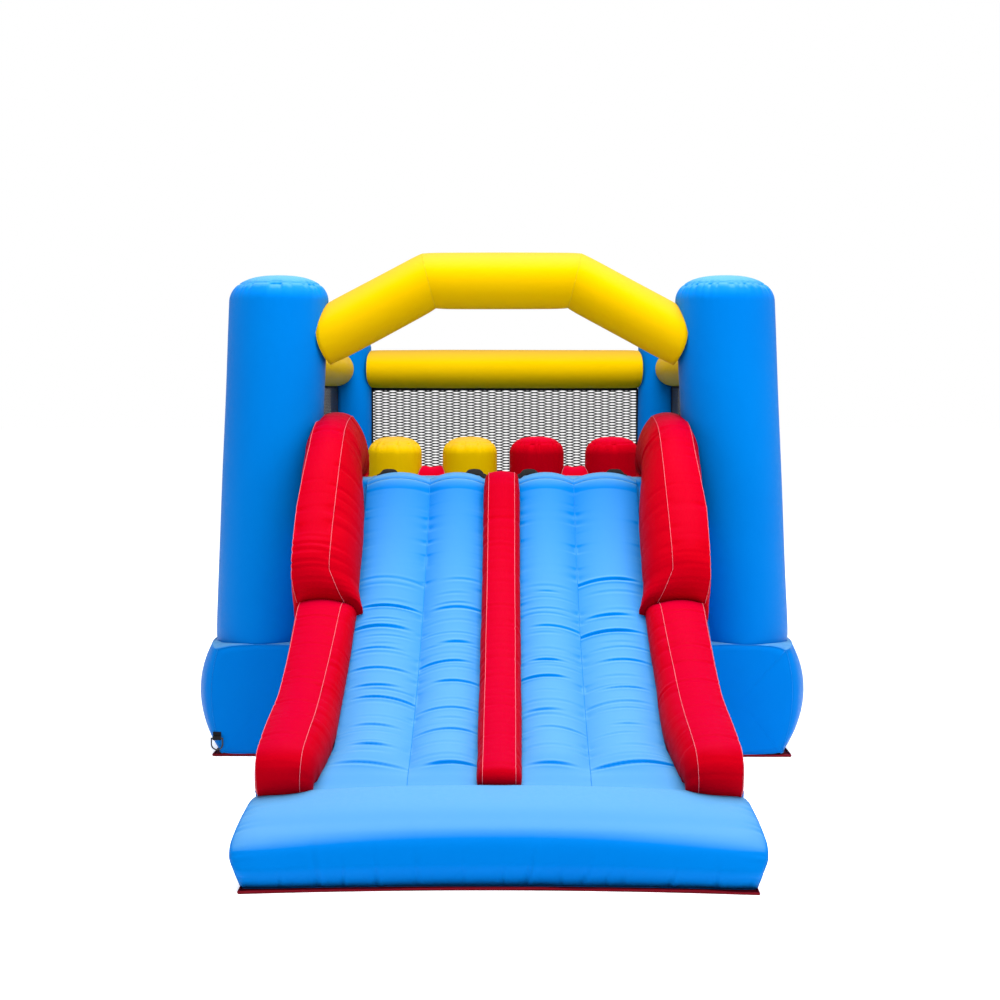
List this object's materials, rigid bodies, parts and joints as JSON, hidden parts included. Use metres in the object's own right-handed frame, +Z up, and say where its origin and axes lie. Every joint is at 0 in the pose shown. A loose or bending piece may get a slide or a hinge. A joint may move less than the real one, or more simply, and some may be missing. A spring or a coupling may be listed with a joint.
{
  "type": "inflatable bounce house",
  "caption": "Inflatable bounce house with netted walls, obstacle pillars and a dual-lane slide with red side walls that ends on a landing cushion, fed by a blower behind it.",
  "frame": {"origin": "middle of the footprint, on the ground", "axes": "+Z up, -Y towards the slide's landing, +X to the right for someone who faces the slide"},
  "size_m": [2.94, 7.22, 2.44],
  "materials": {
    "blue_skin": "coated woven fabric, satin",
    "yellow_skin": "coated woven fabric, satin",
    "red_skin": "coated woven fabric, satin",
    "ground_fabric": "coated woven fabric",
    "netting": "knotted mesh",
    "webbing": "woven webbing",
    "inner_fabric": "coated woven fabric",
    "sleeve_fabric": "coated woven fabric",
    "ring_metal": "black coated wire",
    "zip_fabric": "zip tape",
    "zip_metal": "black",
    "blower_shell": "moulded, fine texture",
    "black_plastic": "moulded",
    "rocker_plastic": "moulded",
    "foot_rubber": "matte",
    "motor_case": "satin",
    "steel": "satin"
  },
  "bodies": {
    "bounce_house": {"ground_sheet": "ground_fabric", "base_tube_left": "blue_skin", "base_tube_right": "blue_skin", "base_tube_back": "blue_skin", "bounce_floor": "blue_skin", "front_post_left": "blue_skin", "front_post_right": "blue_skin", "back_post_left": "blue_skin", "back_post_right": "blue_skin", "slide_body": "blue_skin", "slide_lane_left": "blue_skin", "slide_lane_right": "blue_skin", "landing_pillow": "blue_skin", "climbing_wall": "blue_skin", "front_arch": "yellow_skin", "side_beam_left": "yellow_skin", "side_beam_right": "yellow_skin", "back_beam": "yellow_skin", "pillar_outer_left": "yellow_skin", "pillar_inner_left": "yellow_skin", "pillar_outer_right": "red_skin", "pillar_inner_right": "red_skin", "cross_bolster_left": "red_skin", "cross_bolster_right": "red_skin", "slide_divider": "red_skin", "slide_wall_lower_left": "red_skin", "slide_wall_lower_right": "red_skin", "slide_wall_upper_left": "red_skin", "slide_wall_upper_right": "red_skin", "climb_rail_left": "red_skin", "climb_rail_right": "red_skin", "net_left": "netting", "net_back": "netting", "net_right": "netting", "door_straps": "webbing", "grab_handles": "webbing", "anchor_tabs": "webbing", "sleeve_strap": "webbing", "floor_baffles": "inner_fabric", "slide_baffles": "inner_fabric", "inlet_sleeve": "sleeve_fabric", "zip_tape": "zip_fabric", "blower_housing_left": "blower_shell", "blower_housing_right": "blower_shell", "intake_grille": "black_plastic", "carry_handle": "black_plastic", "switch_box": "black_plastic", "cable_gland": "black_plastic", "blower_feet": "foot_rubber", "blower_motor": "motor_case", "housing_screws": "steel"},
    "door": {"net_door": "netting"},
    "slider": {"zip_slider": "zip_metal"},
    "rotor": {"motor_shaft": "steel", "impeller": "black_plastic"},
    "rocker": {"power_rocker": "rocker_plastic"},
    "ring_front_left": {"anchor_ring_front_left": "ring_metal"},
    "ring_front_right": {"anchor_ring_front_right": "ring_metal"},
    "ring_back_left": {"anchor_ring_back_left": "ring_metal"},
    "ring_back_right": {"anchor_ring_back_right": "ring_metal"}
  },
  "joints": [
    {"name": "door_swing", "type": "hinge", "parent": "bounce_house", "child": "door", "pos_m": [1.215, -0.818, 1.165], "axis": [0, 0, -1], "range_deg": [0, 110]},
    {"name": "impeller_spin", "type": "hinge", "parent": "bounce_house", "child": "rotor", "pos_m": [-1.15, 3.445, 0.205], "axis": [1, 0, 0], "continuous": true},
    {"name": "rocker_tilt", "type": "hinge", "parent": "bounce_house", "child": "rocker", "pos_m": [-1.0267, 3.445, 0.205], "axis": [0, 1, 0], "range_deg": [0, 16]},
    {"name": "zip_travel", "type": "slide", "parent": "bounce_house", "child": "slider", "axis": [1, 0, 0], "range_m": [0, 0.494]},
    {"name": "ring_swing_front_left", "type": "hinge", "parent": "bounce_house", "child": "ring_front_left", "pos_m": [-1.372, -1.5398, 0.09], "axis": [-1, 0, 0], "range_deg": [0, 120]},
    {"name": "ring_swing_front_right", "type": "hinge", "parent": "bounce_house", "child": "ring_front_right", "pos_m": [1.01, -1.5398, 0.09], "axis": [-1, 0, 0], "range_deg": [0, 120]},
    {"name": "ring_swing_back_left", "type": "hinge", "parent": "bounce_house", "child": "ring_back_left", "pos_m": [-1.372, 2.8598, 0.09], "axis": [1, 0, 0], "range_deg": [0, 120]},
    {"name": "ring_swing_back_right", "type": "hinge", "parent": "bounce_house", "child": "ring_back_right", "pos_m": [1.372, 2.8598, 0.09], "axis": [1, 0, 0], "range_deg": [0, 120]}
  ]
}
